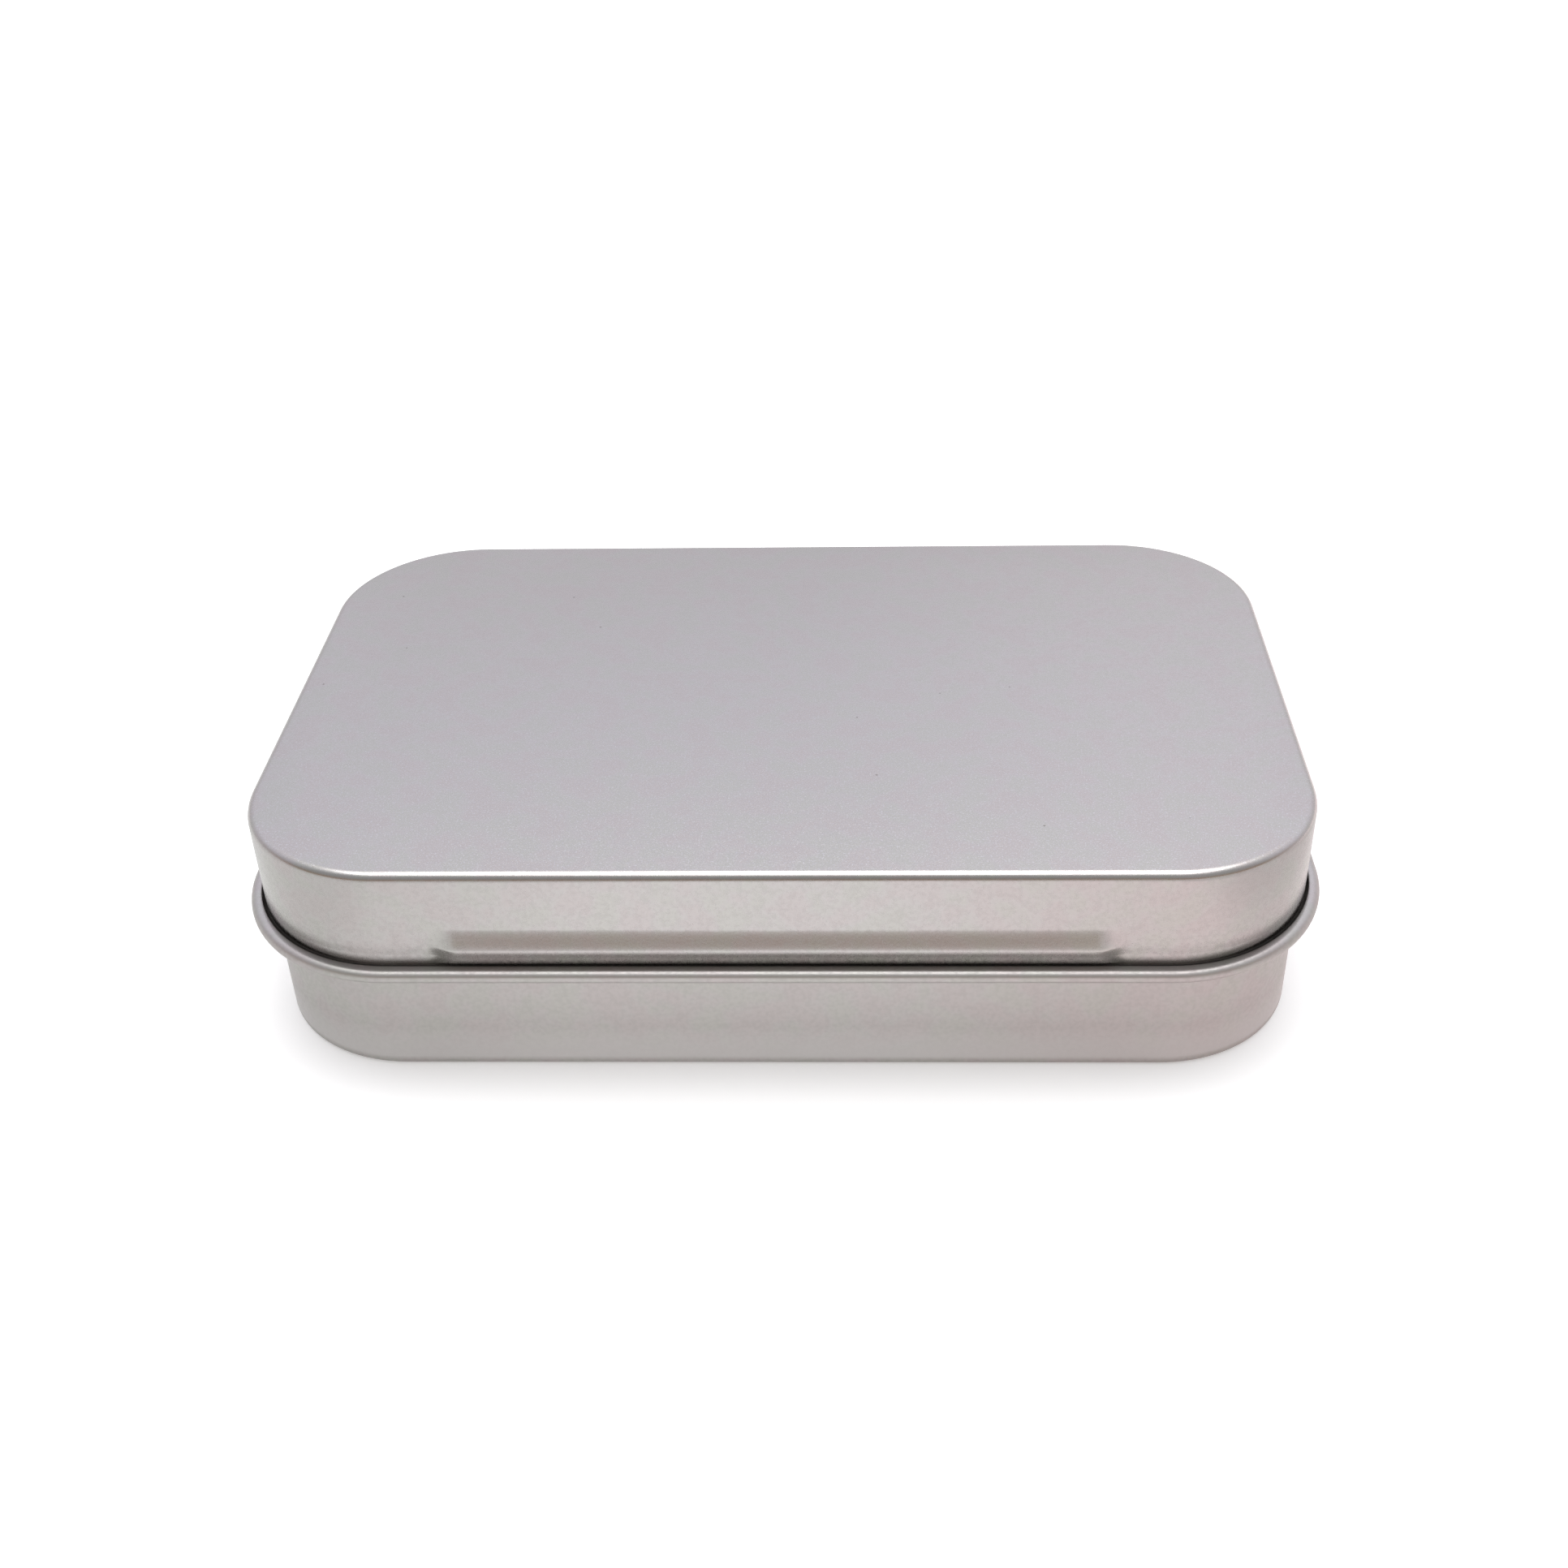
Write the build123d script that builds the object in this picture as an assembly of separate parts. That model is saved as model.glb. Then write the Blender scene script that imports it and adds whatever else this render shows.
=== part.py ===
from build123d import *
import math
import os

# Small hinged tin: a drawn tinplate base and a drawn tinplate lid.
# The frame: X along the length, Y from the front to the hinge, Z up, all in mm.
# The origin lies under the middle of the lid's plan, on the surface the tin stands on.

# Size over the rolled edge of the lid, and from the floor to the top of the lid
overall_length = 95.0
overall_width = 62.0
overall_height = 21.1

# The tinplate that both pieces are pressed from
sheet = 0.25

# Lid: corners in plan, and the edge between the top and the skirt
lid_corner_radius = 13.3
lid_edge_radius = 0.9

# Lid: lower edge, rolled outward. The roll closes further along the straight walls than
# round the corners, where the metal has to stretch
roll_diameter = 1.52
roll_height = 11.55
roll_end_angle = 124.0
corner_roll_end_angle = 108.0
roll_blend = 4.5

# Lid: the stretch of the rolled edge that stands out at the front, for the thumb. The roll
# is pressed flatter there, and its top runs back further. It ends a blend before each corner
thumb_reach = 0.43
thumb_blend = 4.43
thumb_thickness = 1.12
thumb_top_run = 1.03

# Lid: ridge pressed outward above the thumb stretch, whose lower flank runs into the roll
ridge_crest_height = 13.8
ridge_rise = 1.7
ridge_reach = 0.6
ridge_foot_reach = 0.25
ridge_fade = 3.0

# Flanks of a pressed ridge: how much of them the bends at crease and crest take
crease_share = 0.12
crest_share = 0.10

# Base: room between its wall and the skirt of the lid, its slope and its edges
skirt_clearance = 0.35
base_height = 17.2
base_edge_radius = 0.9
wall_slope = 0.2
rim_diameter = 1.3
rim_end_angle = 295.0

# Base: catch pressed outward at the front, which sits behind the ridge of the lid and ends
# a gap before each end of it
catch_reach = 0.18
catch_height = 1.8
catch_end_gap = 3.5
catch_fade = 5.0
catch_end_share = 0.05

# Hinge: two tabs cut from the back wall of the base and curled round the rolled edge
tab_width = 8.0
tab_spacing = 44.0
tab_clearance = 0.05
tab_bend_radius = 0.4
tab_end_angle = 122.0
tab_cut_gap = 0.15
window_side_gap = 0.5
window_top_gap = 0.4

# How far a cut runs past what it cuts
overrun = 1.0

# Shares of a blend at which its sections stand
blend_shares = [0.0, 0.25, 0.5, 0.75, 1.0]

# Worked out from the sizes above
roll_radius = roll_diameter / 2
roll_bore = roll_radius - sheet
lid_length = overall_length - 2 * (roll_diameter - sheet)
lid_width = overall_width - 2 * (roll_diameter - sheet)
thumb_length = lid_length - 2 * (lid_corner_radius + thumb_blend)
catch_length = thumb_length - 2 * catch_end_gap
ridge_top = ridge_crest_height + ridge_rise
base_length = lid_length - 2 * (sheet + skirt_clearance)
base_width = lid_width - 2 * (sheet + skirt_clearance)
base_corner_radius = lid_corner_radius - sheet - skirt_clearance
rim_radius = rim_diameter / 2
rim_bore = rim_radius - sheet
rim_middle = base_height - rim_radius
hinge_y = overall_width / 2 - roll_radius
hinge_z = roll_height
tab_bore = roll_radius + tab_clearance
tab_outer = tab_bore + sheet
tab_middle = tab_bore + sheet / 2
tab_root = hinge_z - tab_middle - tab_bend_radius

# Directions
UP = Vector(0, 0, 1)
FRONT = Vector(0, -1, 0)
RIGHT = Vector(1, 0, 0)
BACK = Vector(0, 1, 0)


def smooth(share):
    """Rise from 0 to 1 with level ends."""
    return share * share * (3 - 2 * share)


def wall_plane(x, y, outward, z=0):
    """Upright plane across a wall: its own X points out of the tin, its own Y up."""
    return Plane(origin=(x, y, z), x_dir=outward, z_dir=outward.cross(UP))


def rounded_block(length, width, corner, low, high):
    """Upright block with rounded corners in plan."""
    plan = Plane.XY.offset(low) * RectangleRounded(length, width, corner)
    return extrude(plan, high - low)


def lid_shell():
    """Flat top and upright skirt, down to where the rolled edge begins."""
    outer = rounded_block(lid_length, lid_width, lid_corner_radius, roll_height, overall_height)
    outer = fillet(outer.faces().sort_by(Axis.Z)[-1].edges(), lid_edge_radius)
    inner = rounded_block(
        lid_length - 2 * sheet,
        lid_width - 2 * sheet,
        lid_corner_radius - sheet,
        roll_height,
        overall_height - sheet,
    )
    inner = fillet(inner.faces().sort_by(Axis.Z)[-1].edges(), lid_edge_radius - sheet)
    return outer - inner


def roll_end(middle, run, radius, end_angle):
    """Point of the roll's free end, on an arc that runs back by run over a radius."""
    end = math.radians(end_angle)
    return (middle[0] + run * math.cos(end), middle[1] + radius * math.sin(end))


def roll_section(end_angle):
    """Section of the roll below a plain wall."""
    middle = (roll_bore, roll_height)
    turn = 180 + end_angle
    edges = [
        CenterArc(middle, roll_bore, 180, turn),
        Line(
            roll_end(middle, roll_bore, roll_bore, end_angle),
            roll_end(middle, roll_radius, roll_radius, end_angle),
        ),
        CenterArc(middle, roll_radius, end_angle, -turn),
        Line((-sheet, roll_height), (0, roll_height)),
    ]
    return make_face(Curve() + edges)


def lip_edges(foot, pressed, end_angle):
    """Outline of a roll pressed out and flat by a share, from a wall at foot and back to it."""
    radius = roll_radius + (thumb_thickness / 2 - roll_radius) * pressed
    bore = radius - sheet
    run = roll_radius + (thumb_top_run - roll_radius) * pressed
    middle = (roll_diameter - sheet + thumb_reach * pressed - radius, roll_height)
    across = middle[0] - foot
    past_top = end_angle - 90
    return [
        EllipticalCenterArc(middle, across, bore, 180, arc_size=90),
        CenterArc(middle, bore, -90, 180),
        EllipticalCenterArc(middle, run - sheet, bore, 90, arc_size=past_top),
        Line(
            roll_end(middle, run - sheet, bore, end_angle),
            roll_end(middle, run, radius, end_angle),
        ),
        EllipticalCenterArc(middle, run, radius, 90, arc_size=past_top),
        CenterArc(middle, radius, -90, 180),
        EllipticalCenterArc(middle, across + sheet, radius, 180, arc_size=90),
    ]


def closed_roll(x, y, outward, length):
    """Straight stretch of closed roll that starts at x, y."""
    return extrude(wall_plane(x, y, outward) * roll_section(roll_end_angle), length)


def opened_angle(share):
    """End angle of a roll that has opened by a share."""
    return roll_end_angle + (corner_roll_end_angle - roll_end_angle) * smooth(share)


def roll_change(x, y, outward, along, length):
    """Straight stretch from x, y in which a closed roll opens towards a corner."""
    sections = []
    for share in blend_shares:
        place = Vector(x, y) + along * (length * share)
        sections.append(wall_plane(place.X, place.Y, outward) * roll_section(opened_angle(share)))
    return loft(sections)


def lip_end(x, y, length):
    """Front stretch from x, y in which the lip moves in and opens towards a corner."""
    sections = []
    for share in blend_shares:
        edges = lip_edges(0, 1 - smooth(share), opened_angle(share))
        edges.append(Line((-sheet, roll_height), (0, roll_height)))
        sections.append(wall_plane(x + length * share, y, FRONT) * make_face(Curve() + edges))
    return loft(sections)


def open_corner(x, y, outward):
    """Quarter turn of open roll round the corner whose centre is at x, y."""
    start = Vector(x, y) + outward * lid_corner_radius
    section = wall_plane(start.X, start.Y, outward) * roll_section(corner_roll_end_angle)
    return revolve(section, Axis((x, y, 0), (0, 0, 1)), 90)


def rolled_edge():
    """Outward roll all round, but for the thumb stretch at the front."""
    x = lid_length / 2
    y = lid_width / 2
    corner_x = x - lid_corner_radius
    corner_y = y - lid_corner_radius
    thumb_end = thumb_length / 2
    side_end = corner_y - roll_blend
    back_end = corner_x - roll_blend
    half = (
        lip_end(thumb_end, -y, corner_x - thumb_end)
        + open_corner(corner_x, -corner_y, FRONT)
        + roll_change(x, -side_end, RIGHT, FRONT, roll_blend)
        + closed_roll(x, side_end, RIGHT, 2 * side_end)
        + roll_change(x, side_end, RIGHT, BACK, roll_blend)
        + open_corner(corner_x, corner_y, RIGHT)
        + roll_change(back_end, y, BACK, RIGHT, roll_blend)
    )
    back = closed_roll(-back_end, y, BACK, 2 * back_end)
    return half + back + mirror(half, Plane.YZ)


def flank(crease, crest):
    """Curve of a pressed flank, which leaves the wall upright and reaches its crest upright."""
    height = crest[1] - crease[1]
    bend_from = (crease[0], crease[1] + height * crease_share)
    bend_to = (crest[0], crest[1] - height * crest_share)
    return Bezier(crease, bend_from, bend_to, crest)


def thumb_section(share):
    """Section of the ridge and the thumb lip below it, with the ridge pressed to a share."""
    reach = ridge_reach * share
    foot = ridge_foot_reach * share
    edges = lip_edges(foot, 1, roll_end_angle)
    for face in (0, -sheet):
        crest = (reach + face, ridge_crest_height)
        edges.append(flank((face, ridge_top), crest))
        edges.append(flank((foot + face, roll_height), crest))
    edges.append(Line((-sheet, ridge_top), (0, ridge_top)))
    return make_face(Curve() + edges)


def thumb_stretch():
    """Lower front of the skirt, where one sheet makes the ridge and the lip for the thumb."""
    y = -lid_width / 2
    straight = thumb_length / 2 - ridge_fade
    middle = extrude(wall_plane(straight, y, FRONT) * thumb_section(1), 2 * straight)
    sections = []
    for share in blend_shares:
        plane = wall_plane(straight + ridge_fade * share, y, FRONT)
        sections.append(plane * thumb_section(1 - smooth(share)))
    end = loft(sections)
    return middle + end + mirror(end, Plane.YZ)


def hinge_places():
    """Middles of the two hinge tabs along the back."""
    return [-tab_spacing / 2, tab_spacing / 2]


def lid():
    """The lid: top, skirt, ridge, rolled edge and the two windows for the hinge tabs."""
    thumb_opening = Pos(0, -lid_width / 2 + sheet, roll_height) * Box(
        thumb_length,
        sheet + overrun,
        ridge_top - roll_height,
        align=(Align.CENTER, Align.MAX, Align.MIN),
    )
    body = lid_shell() - thumb_opening + rolled_edge() + thumb_stretch()
    window_height = tab_outer + window_top_gap
    for x in hinge_places():
        window = Pos(x, lid_width / 2, hinge_z) * Box(
            tab_width + 2 * window_side_gap,
            sheet + overrun,
            window_height,
            align=(Align.CENTER, Align.MAX, Align.MIN),
        )
        body -= window
    return body


def tapered_cup(length, width, corner, floor, edge_radius):
    """Solid of a cup whose wall slopes in to the floor below the tabs and is upright above."""
    plan = Plane.XY.offset(tab_root) * RectangleRounded(length, width, corner)
    angle = math.degrees(math.atan(wall_slope / tab_root))
    below = extrude(plan, -(tab_root - floor), taper=angle)
    above = extrude(plan, rim_middle - tab_root)
    cup = below + above
    return fillet(cup.faces().sort_by(Axis.Z)[0].edges(), edge_radius)


def catch_section(reach, depth):
    """Section of the catch: two flanks from a crease at the wall to a round crest."""
    half = catch_height / 2
    edges = [
        flank((0, half), (reach, 0)),
        flank((0, -half), (reach, 0)),
        Line((0, -half), (-depth, -half)),
        Line((-depth, -half), (-depth, half)),
        Line((-depth, half), (0, half)),
    ]
    return make_face(Curve() + edges)


def catch_block(depth, y):
    """Solid of the catch on a front wall at y, dying out towards both ends."""
    straight = catch_length / 2 - catch_fade
    plane = wall_plane(straight, y, FRONT, ridge_crest_height)
    middle = extrude(plane * catch_section(catch_reach, depth), 2 * straight)
    sections = []
    for share in blend_shares:
        part = catch_end_share + (1 - catch_end_share) * (1 - smooth(share))
        plane = wall_plane(straight + catch_fade * share, y, FRONT, ridge_crest_height)
        sections.append(plane * catch_section(catch_reach * part, depth))
    end = loft(sections)
    return middle + end + mirror(end, Plane.YZ)


def rim_section():
    """Section of the inward roll on the rim of the base, from the wall's outer face."""
    middle = (-rim_radius, rim_middle)
    end = math.radians(rim_end_angle)
    inner_end = (middle[0] + rim_bore * math.cos(end), middle[1] + rim_bore * math.sin(end))
    outer_end = (middle[0] + rim_radius * math.cos(end), middle[1] + rim_radius * math.sin(end))
    edges = [
        CenterArc(middle, rim_radius, 0, rim_end_angle),
        Line(outer_end, inner_end),
        CenterArc(middle, rim_bore, rim_end_angle, -rim_end_angle),
        Line((rim_bore - rim_radius, rim_middle), (0, rim_middle)),
    ]
    return make_face(Curve() + edges)


def rim_roll():
    """Inward roll on the rim of the base, so that no cut edge is left."""
    path = RectangleRounded(base_length, base_width, base_corner_radius).wire()
    start = path @ 0
    direction = path % 0
    outward = direction.cross(UP)
    section = Plane(origin=start, x_dir=outward, z_dir=-direction) * rim_section()
    return sweep(section, path)


def tab_section():
    """Section of a hinge tab: out under the roll, round it and into the window."""
    wall_middle = base_width / 2 - sheet / 2
    bend = (wall_middle + tab_bend_radius, tab_root)
    middle = (hinge_y, hinge_z)
    low = hinge_z - tab_outer
    high = hinge_z - tab_bore
    turn = 90 + tab_end_angle
    end = math.radians(tab_end_angle)
    inner_end = (hinge_y + tab_bore * math.cos(end), hinge_z + tab_bore * math.sin(end))
    outer_end = (hinge_y + tab_outer * math.cos(end), hinge_z + tab_outer * math.sin(end))
    bend_outer = tab_bend_radius + sheet / 2
    bend_inner = tab_bend_radius - sheet / 2
    edges = [
        CenterArc(bend, bend_outer, 180, -90),
        Line((bend[0], high), (hinge_y, high)),
        CenterArc(middle, tab_bore, -90, turn),
        Line(inner_end, outer_end),
        CenterArc(middle, tab_outer, tab_end_angle, -turn),
        Line((hinge_y, low), (bend[0], low)),
        CenterArc(bend, bend_inner, 90, 90),
        Line((bend[0] - bend_inner, bend[1]), (bend[0] - bend_outer, bend[1])),
    ]
    return make_face(Curve() + edges)


def tab_blank_length():
    """Length of flat strip that a curled tab takes from the wall."""
    bend = math.pi / 2 * tab_bend_radius
    run = hinge_y - (base_width / 2 - sheet / 2 + tab_bend_radius)
    curl = math.radians(90 + tab_end_angle) * tab_middle
    return bend + run + curl


def base():
    """The base: bottom, wall, rolled rim, front catch and two hinge tabs."""
    outer = tapered_cup(base_length, base_width, base_corner_radius, 0, base_edge_radius)
    inner = tapered_cup(
        base_length - 2 * sheet,
        base_width - 2 * sheet,
        base_corner_radius - sheet,
        sheet,
        base_edge_radius - sheet,
    )
    wall = -base_width / 2
    body = outer - inner + rim_roll() + catch_block(sheet / 2, wall)
    body -= catch_block(overrun, wall + sheet)
    tab = extrude(Plane.YZ * tab_section(), tab_width / 2, both=True)
    for x in hinge_places():
        hole = Pos(x, base_width / 2, tab_root) * Box(
            tab_width + 2 * tab_cut_gap,
            sheet + 2 * overrun,
            tab_blank_length(),
            align=(Align.CENTER, Align.CENTER, Align.MIN),
        )
        body = body - hole + Pos(x, 0, 0) * tab
    return body


os.makedirs("parts", exist_ok=True)
pieces = {"base": base(), "lid": lid()}
for name, piece in pieces.items():
    export_step(piece, f"parts/{name}.step")
    size = piece.bounding_box().size
    print(name, len(piece.solids()), "solid", round(piece.volume, 1), "mm3", size)
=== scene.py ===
# %% [markdown]
# A small hinged tin.
# The real thing is two pieces of tinplate, a quarter of a millimetre thick. A press draws each
# one from a flat blank into a shallow tray, and rollers curl its edge. The lid's curl is also
# the pin of the hinge: two tabs of the base wrap round it.
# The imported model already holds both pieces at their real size. This lesson draws them again
# as smooth sheet, because rolled metal shows every facet, and then gives them their finish.

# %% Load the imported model
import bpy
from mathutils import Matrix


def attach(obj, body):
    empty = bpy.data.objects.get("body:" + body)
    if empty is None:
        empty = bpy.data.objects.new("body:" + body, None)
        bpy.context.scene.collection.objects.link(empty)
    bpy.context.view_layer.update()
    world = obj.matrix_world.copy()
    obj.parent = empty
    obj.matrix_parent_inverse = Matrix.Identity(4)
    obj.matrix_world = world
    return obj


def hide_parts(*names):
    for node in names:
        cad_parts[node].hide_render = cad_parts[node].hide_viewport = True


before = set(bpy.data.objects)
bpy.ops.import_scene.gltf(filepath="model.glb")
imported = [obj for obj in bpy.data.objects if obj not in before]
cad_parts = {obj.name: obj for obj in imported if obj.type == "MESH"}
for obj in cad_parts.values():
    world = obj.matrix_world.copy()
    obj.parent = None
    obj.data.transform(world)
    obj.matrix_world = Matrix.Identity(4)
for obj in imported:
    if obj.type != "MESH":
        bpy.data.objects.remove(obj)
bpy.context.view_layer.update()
print("pieces in the packed model:", sorted(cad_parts))

# %% [markdown]
# Blender works in metres here, and the tin is small, so every size is written in millimetres
# and multiplied by one unit. The sizes are the real ones: what a caliper would read.
# Only the sizes that a reader may want to change are typed. The rest follow from them.
# The sizes that both pieces share come first, the others where they are first needed.

# %% Sizes that both pieces share
import math

import bmesh
import bpy
import numpy as np
from mathutils import Vector

mm = 0.001

overall_length = 95.0 * mm
overall_width = 62.0 * mm
overall_height = 21.1 * mm
sheet = 0.25 * mm
lid_corner_radius = 13.3 * mm
roll_diameter = 1.52 * mm
roll_height = 11.55 * mm

lid_half_length = overall_length / 2 - (roll_diameter - sheet)
lid_half_width = overall_width / 2 - (roll_diameter - sheet)
lid_corner_x = lid_half_length - lid_corner_radius
lid_corner_y = lid_half_width - lid_corner_radius
print("lid wall to wall, mm:", round(2 * lid_half_length / mm, 2), round(2 * lid_half_width / mm, 2))

# %% [markdown]
# The hinge needs no pin of its own. The lid's curl is the pin, and two tabs of the base are
# curled round it with a little room to turn. The lid's skirt has a window above each tab.
# The two pieces could each have typed places for it, and would part when one of them changed.
# Here both take the hinge from the same few values, so it fits whatever is changed.

# %% Sizes of the hinge
tab_width = 8.0 * mm
tab_spacing = 44.0 * mm
tab_clearance = 0.05 * mm
window_side_gap = 0.5 * mm
window_top_gap = 0.4 * mm

hinge_y = overall_width / 2 - roll_diameter / 2
hinge_z = roll_height
tab_place = tab_spacing / 2
tab_outer = roll_diameter / 2 + tab_clearance + sheet
window_top = hinge_z + tab_outer + window_top_gap
window_ends = [tab_place + tab_width / 2 + window_side_gap, tab_place - tab_width / 2 - window_side_gap]
print("hinge axis, mm: Y", round(hinge_y / mm, 2), "Z", round(hinge_z / mm, 2))

# %% [markdown]
# Before any modelling, the camera. It stands where the photographer stood, a little to the
# right of the tin and about 35 degrees above it, so each new piece can be judged at once.
# The small shift of the lens is the photograph's own, as if it had been cropped off centre.

# %% Camera
camera_place = Vector((8.64, -153.50, 112.62)) * mm
camera_turn = [math.radians(angle) for angle in (55.288, 1.111, 1.331)]
camera_lens = 43.65
camera_shift = (-0.02395, 0.02138)
nearest_seen = 10 * mm

bpy.ops.object.camera_add(location=camera_place, rotation=camera_turn)
camera = bpy.context.object
camera.data.lens = camera_lens
camera.data.shift_x, camera.data.shift_y = camera_shift
camera.data.clip_start = nearest_seen
bpy.context.scene.camera = camera
print("camera to tin, mm:", round(camera_place.length / mm))

# %% [markdown]
# Every piece of sheet starts as one point. A plane is merged into a point, the point is
# extruded and spun into a section, and the section is extruded and spun round the plan.
# A box with round corners would be quicker, but its faces would meet the curl in a muddle.
# This is how the tool goes round the tin too, and it leaves clean rows of faces.
# A turn follows the right-hand rule about its axis, which for Blender's spin is a negative
# angle. The axis X turns the front towards the floor, the axis Z turns it to the right.

# %% Helpers for drawing with points
AXIS_X = (1, 0, 0)
AXIS_Z = (0, 0, 1)


def start_point(name, place):
    """A new object of one selected point, in edit mode."""
    bpy.ops.object.select_all(action="DESELECT")
    bpy.ops.mesh.primitive_plane_add(size=mm, enter_editmode=True)
    bpy.ops.mesh.merge(type="CENTER")
    bpy.ops.transform.translate(value=place)
    bpy.context.object.name = name
    return bpy.context.object


def step(x=0.0, y=0.0, z=0.0):
    """Extrude what is selected."""
    bpy.ops.mesh.extrude_region_move(TRANSFORM_OT_translate={"value": (x, y, z)})


def turn(angle, steps, center, axis):
    """Extrude what is selected round an axis."""
    bpy.ops.mesh.spin(angle=-angle, steps=steps, center=center, axis=axis)


# %% [markdown]
# The ridge is a long swelling in the skirt above the thumb lip, and it snaps over a catch of
# the base. A press leaves no corners, so its section is a smooth curve that runs in line with
# the wall at the creases and at the crest. A bump texture could imitate it, but the outline
# would stay flat. So the skirt gets real rows for it, spaced by the same curve: closest where
# it bends most.

# %% Rows of the ridge
ridge_rows = 10
ridge_samples = 65
crease_share = 0.12
crest_share = 0.08


def bezier(share, a, b, c, d):
    """One coordinate of a cubic curve with four control values."""
    left = 1 - share
    return a * left**3 + 3 * b * left**2 * share + 3 * c * left * share**2 + d * share**3


def flank_height(share):
    """Height on a flank as a share of its half height: 1 at the crease, 0 at the crest."""
    return bezier(share, 1.0, 1.0 - crease_share, crest_share, 0.0)


def flank_reach(height_share):
    """Reach of the ridge at a height share, 0 at the crease and 1 at the crest."""
    shares = np.linspace(1.0, 0.0, ridge_samples)
    heights = [flank_height(share) for share in shares]
    reaches = [bezier(share, 0.0, 0.0, 1.0, 1.0) for share in shares]
    return float(np.interp(abs(height_share), heights, reaches))


def flank_levels(crest, height):
    """Heights of the rows of one flank, from its crease to its crest."""
    return [crest + height * flank_height(row / ridge_rows) for row in range(ridge_rows + 1)]


print("reach of the ridge half way up a flank:", round(flank_reach(0.5), 2))

# %% [markdown]
# The lid's section is drawn at the middle of the front, from the free end of the curl.
# It goes round the curl, up the skirt and over the top edge. The skirt gets rows where the
# ridge and the hinge windows will need them.
# The outer face is drawn, and the sheet gets its thickness at the end, so the curl is drawn
# as its bore: rolled outward, the outer face ends up inside.

# %% Section of the lid
lid_edge_radius = 0.8 * mm
roll_end = math.radians(124)
ridge_crest = 13.8 * mm
ridge_rise = 1.85 * mm
roll_steps = 36
edge_steps = 8

lid_levels = flank_levels(ridge_crest, roll_height - ridge_crest)[1:]
lid_levels += flank_levels(ridge_crest, ridge_rise)[:-1]
lid_levels = sorted(lid_levels + [window_top, overall_height - lid_edge_radius])

roll_bore = roll_diameter / 2 - sheet
roll_center = Vector((0.0, -lid_half_width - roll_bore, roll_height))
free_end = roll_center + roll_bore * Vector((0.0, -math.cos(roll_end), math.sin(roll_end)))
edge_center = (0.0, -lid_half_width + lid_edge_radius, overall_height - lid_edge_radius)

lid_shell = start_point("lid_shell", free_end)
turn(math.pi + roll_end, roll_steps, roll_center, AXIS_X)
height = roll_height
for level in lid_levels:
    step(z=level - height)
    height = level
turn(-math.pi / 2, edge_steps, edge_center, AXIS_X)
print("points in the lid's section:", len(bmesh.from_edit_mesh(lid_shell.data).verts))

# %% [markdown]
# Now the section travels round the right half of the plan: along the front, round a corner,
# along the side, round the other corner and along the back. It stops wherever the shape will
# change, most often where it changes fast. Even stops all the way would need many more faces.
# The left half is a mirror image, so a modifier can make it later.

# %% Take the lid's section round the plan
ridge_length = 58.7 * mm
ridge_fade = 2.8 * mm
roll_blend = 4.5 * mm
corner_steps = 26
fade_steps = 10
blend_steps = 8


def go_to(stops, start, axis):
    """Extrude the section to each stop in turn, along X or Y."""
    place = start
    for stop in stops:
        if stop != place:
            step(**{axis: stop - place})
        place = stop


def stops_between(start, end, count):
    """Evenly spaced stops after start, up to and with end."""
    return [start + (end - start) * number / count for number in range(1, count + 1)]


bpy.ops.mesh.select_all(action="SELECT")
ridge_straight = ridge_length / 2 - ridge_fade
side_start, side_end = roll_blend - lid_corner_y, lid_corner_y - roll_blend

go_to([ridge_straight / 2], 0.0, "x")
go_to(stops_between(ridge_straight / 2, ridge_straight, 2), ridge_straight / 2, "x")
go_to(stops_between(ridge_straight, ridge_length / 2, fade_steps), ridge_straight, "x")
go_to([lid_corner_x], ridge_length / 2, "x")
turn(math.pi / 2, corner_steps, (lid_corner_x, -lid_corner_y, 0), AXIS_Z)
go_to(stops_between(-lid_corner_y, side_start, blend_steps), -lid_corner_y, "y")
go_to([side_end], side_start, "y")
go_to(stops_between(side_end, lid_corner_y, blend_steps), side_end, "y")
turn(math.pi / 2, corner_steps, (lid_corner_x, lid_corner_y, 0), AXIS_Z)
go_to(stops_between(lid_corner_x, lid_corner_x - roll_blend, blend_steps), lid_corner_x, "x")
go_to(window_ends + [0.0], lid_corner_x - roll_blend, "x")
print("points in half a lid:", len(bmesh.from_edit_mesh(lid_shell.data).verts))

# %% [markdown]
# The plan of both pieces is a rectangle with round corners. This helper says where a point
# stands on it: which way is out of the tin there, how far outside the wall it is, and how
# far along the wall the next corner begins. Shaping a wall is then a matter of moving its
# points in or out, the same on the straights and in the corners.

# %% Where a point stands on the plan
near = 0.01 * mm


def smooth(share):
    """Rise from 0 to 1 with level ends, and stay there."""
    share = min(max(share, 0.0), 1.0)
    return share * share * (3 - 2 * share)


def plan_place(point, corner_x, corner_y, corner_radius):
    """The outward direction, the distance outside the wall, and the distance to the corner."""
    past_x = max(abs(point.x) - corner_x, 0.0)
    past_y = max(abs(point.y) - corner_y, 0.0)
    outward = Vector((math.copysign(past_x, point.x), math.copysign(past_y, point.y), 0.0))
    outside = outward.length - corner_radius
    to_corner = 0.0
    if past_x == 0.0:
        to_corner = corner_x - abs(point.x)
    elif past_y == 0.0:
        to_corner = corner_y - abs(point.y)
    return outward.normalized(), outside, to_corner


square_corner = Vector((lid_half_length, lid_half_width, 0.0))
cut_off = plan_place(square_corner, lid_corner_x, lid_corner_y, lid_corner_radius)[1]
print("cut off a square corner by the round one, mm:", round(cut_off / mm, 2))

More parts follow.
